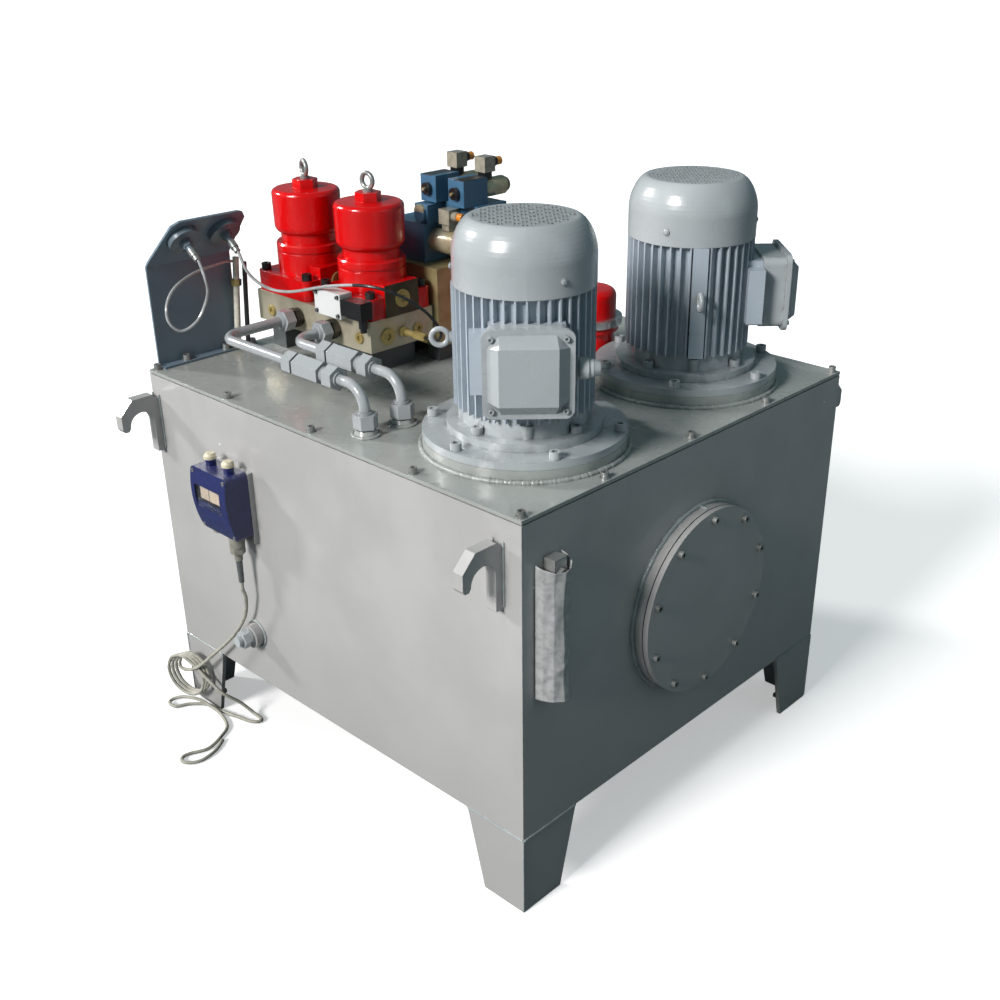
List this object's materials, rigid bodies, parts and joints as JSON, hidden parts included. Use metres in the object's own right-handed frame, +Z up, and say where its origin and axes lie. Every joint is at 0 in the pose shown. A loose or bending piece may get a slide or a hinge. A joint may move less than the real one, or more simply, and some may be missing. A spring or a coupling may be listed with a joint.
{
  "type": "hydraulic power unit",
  "caption": "Oil tank on legs that carries upright electric motors with immersed gear pumps, pressure filters, solenoid valves, a return filter and a leaning gauge panel.",
  "frame": {"origin": "centre of the tank footprint, on the floor under the legs", "axes": "+Z up; +X towards the round clean-out cover; -Y towards the long side with the sensor box and its cable"},
  "size_m": [1.011, 1.1004, 1.085],
  "materials": {
    "tank_paint": "glossy silver-grey enamel with weld marks",
    "motor_paint": "smooth silver-grey paint over castings",
    "fitting_paint": "silver-grey paint over turned steel",
    "panel_paint": "grey enamel",
    "dark_bracket": "worn dark grey paint",
    "filter_red": "glossy red paint",
    "zinc_block": "milled and zinc plated",
    "yellow_zinc": "yellow passivated zinc plate",
    "valve_blue": "blue-grey phosphate paint",
    "solenoid_zinc": "zinc plated tube with a gold cast",
    "plug_grey": "moulded grey plastic",
    "screw_steel": "zinc plated",
    "bright_steel": "ground steel",
    "cast_aluminium": "as cast",
    "copper": "varnished windings in steel laminations",
    "gasket_rubber": "dull black rubber",
    "fan_plastic": "black moulded plastic",
    "element_paper": "pleated filter medium",
    "vinyl_grey": "thin grey vinyl",
    "cable_grey": "grey rubber sheath",
    "hose_clear": "translucent nylon tube",
    "sensor_navy": "navy moulded plastic",
    "gland_cream": "cream nylon",
    "gauge_steel": "dark plated steel case",
    "needle_black": "black lacquer",
    "clear": "clear window"
  },
  "bodies": {
    "unit": {"tank_shell": "tank_paint", "tank_legs": "tank_paint", "lifting_hooks": "tank_paint", "gaskets": "gasket_rubber", "tank_lid": "tank_paint", "cleanout_cover": "tank_paint", "socket_screws": "screw_steel", "drain_plug": "screw_steel", "level_gauge": "bright_steel", "level_gauge_sleeve": "vinyl_grey", "sensor_bracket": "tank_paint", "sensor_box": "sensor_navy", "cable_glands": "gland_cream", "sensor_cable": "cable_grey", "clear_windows": "clear", "gauge_panel": "panel_paint", "gauge_cases": "gauge_steel", "gauge_hoses": "hose_clear", "filter_manifold": "zinc_block", "manifold_feet": "dark_bracket", "filter_heads": "filter_red", "filter_bowls": "filter_red", "filter_elements": "element_paper", "eyebolts": "screw_steel", "pressure_switch": "cast_aluminium", "port_fittings": "yellow_zinc", "pipe_fittings": "fitting_paint", "delivery_pipes": "fitting_paint", "check_valve_bodies": "fitting_paint", "valve_manifold": "yellow_zinc", "main_valve": "valve_blue", "pilot_valves": "valve_blue", "valve_solenoids": "solenoid_zinc", "din_plugs": "plug_grey", "bell_housings": "motor_paint", "motor_end_shields": "motor_paint", "motor_frames": "motor_paint", "motor_stators": "copper", "terminal_boxes": "motor_paint", "terminal_covers": "motor_paint", "fan_cowls": "motor_paint", "pump_bodies": "cast_aluminium", "suction_strainers": "bright_steel", "return_filter": "filter_red"},
    "rotor_1": {"motor_shaft_1": "bright_steel", "cooling_fan_1": "fan_plastic", "shaft_coupling_1": "cast_aluminium", "drive_gear_1": "bright_steel"},
    "idler_1": {"driven_gear_1": "bright_steel"},
    "rotor_2": {"motor_shaft_2": "bright_steel", "cooling_fan_2": "fan_plastic", "shaft_coupling_2": "cast_aluminium", "drive_gear_2": "bright_steel"},
    "idler_2": {"driven_gear_2": "bright_steel"},
    "needle_left": {"needle_left": "needle_black"},
    "needle_right": {"needle_right": "needle_black"},
    "override_pin_1": {"override_pin_1": "solenoid_zinc"},
    "override_pin_2": {"override_pin_2": "solenoid_zinc"},
    "check_poppet_a": {"check_poppet_a": "bright_steel"},
    "check_poppet_b": {"check_poppet_b": "bright_steel"}
  },
  "joints": [
    {"name": "motor_1_spin", "type": "hinge", "parent": "unit", "child": "rotor_1", "pos_m": [0.278, -0.212, 0.8], "axis": [0, 0, 1], "continuous": true},
    {"name": "pump_1_idler_spin", "type": "hinge", "parent": "unit", "child": "idler_1", "pos_m": [0.238, -0.212, 0.545], "axis": [0, 0, 1], "continuous": true},
    {"name": "motor_2_spin", "type": "hinge", "parent": "unit", "child": "rotor_2", "pos_m": [0.278, 0.212, 0.8], "axis": [0, 0, 1], "continuous": true},
    {"name": "pump_2_idler_spin", "type": "hinge", "parent": "unit", "child": "idler_2", "pos_m": [0.238, 0.212, 0.545], "axis": [0, 0, 1], "continuous": true},
    {"name": "gauge_needle_left_turn", "type": "hinge", "parent": "unit", "child": "needle_left", "pos_m": [-0.42808, -0.272, 0.96192], "axis": [0.766, 0, -0.6428], "range_deg": [0, 270]},
    {"name": "gauge_needle_right_turn", "type": "hinge", "parent": "unit", "child": "needle_right", "pos_m": [-0.42808, -0.357, 0.96192], "axis": [0.766, 0, -0.6428], "range_deg": [0, 270]},
    {"name": "override_pin_1_push", "type": "slide", "parent": "unit", "child": "override_pin_1", "axis": [0, 1, 0], "range_m": [0, 0.003]},
    {"name": "override_pin_2_push", "type": "slide", "parent": "unit", "child": "override_pin_2", "axis": [0, 1, 0], "range_m": [0, 0.003]},
    {"name": "check_poppet_a_lift", "type": "slide", "parent": "unit", "child": "check_poppet_a", "axis": [-1, 0, 0], "range_m": [0, 0.004]},
    {"name": "check_poppet_b_lift", "type": "slide", "parent": "unit", "child": "check_poppet_b", "axis": [-1, 0, 0], "range_m": [0, 0.004]}
  ],
  "couplings": [
    {"joint": "pump_1_idler_spin", "follows": "motor_1_spin", "ratio": -1},
    {"joint": "pump_2_idler_spin", "follows": "motor_2_spin", "ratio": -1}
  ]
}
